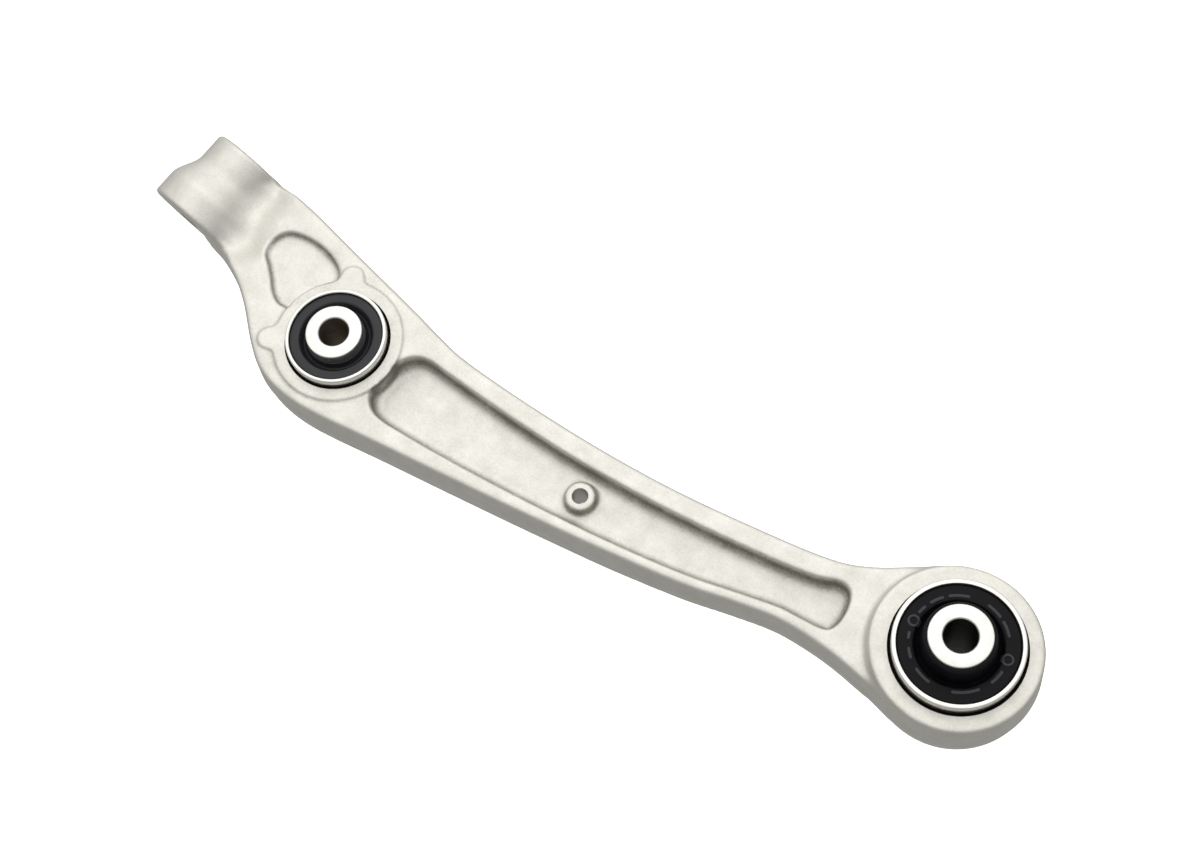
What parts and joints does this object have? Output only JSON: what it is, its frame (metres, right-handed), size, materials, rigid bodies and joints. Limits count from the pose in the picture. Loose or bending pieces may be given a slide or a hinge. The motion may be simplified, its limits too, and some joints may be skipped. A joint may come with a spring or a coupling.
{
  "type": "control arm",
  "caption": "Forged aluminium suspension control arm with an I-section beam, two bonded rubber bushes, a sensor link hole and a tapered knuckle eye.",
  "frame": {"origin": "chassis bush axis at mid thickness of the beam", "axes": "+Z along the chassis bush axis out of the face with the higher bush end; +X along the arm from the chassis bush towards the knuckle eye; +Y across the arm towards the damper bush side"},
  "size_m": [0.4193, 0.0901, 0.06],
  "materials": {
    "forged_aluminium": "shot-blasted forging, matt",
    "outer_sleeve_steel": "drawn tube, zinc plated, satin",
    "bush_rubber": "moulded natural rubber, satin",
    "inner_sleeve_steel": "turned ends, zinc plated"
  },
  "bodies": {
    "arm": {"arm_forging": "forged_aluminium", "chassis_outer_sleeve": "outer_sleeve_steel", "chassis_rubber": "bush_rubber", "damper_outer_sleeve": "outer_sleeve_steel", "damper_rubber": "bush_rubber"},
    "chassis_sleeve": {"chassis_inner_sleeve": "inner_sleeve_steel"},
    "damper_sleeve": {"damper_inner_sleeve": "inner_sleeve_steel"}
  },
  "joints": [
    {"name": "chassis_bush_twist", "type": "hinge", "parent": "arm", "child": "chassis_sleeve", "pos_m": [0, 0, 0], "axis": [0, 0, 1], "range_deg": [-20, 20], "stiffness_Nm_per_rad": 85},
    {"name": "damper_bush_twist", "type": "hinge", "parent": "arm", "child": "damper_sleeve", "pos_m": [0.2733, 0.0259, 0], "axis": [0, 0, 1], "range_deg": [-15, 15], "stiffness_Nm_per_rad": 60}
  ]
}
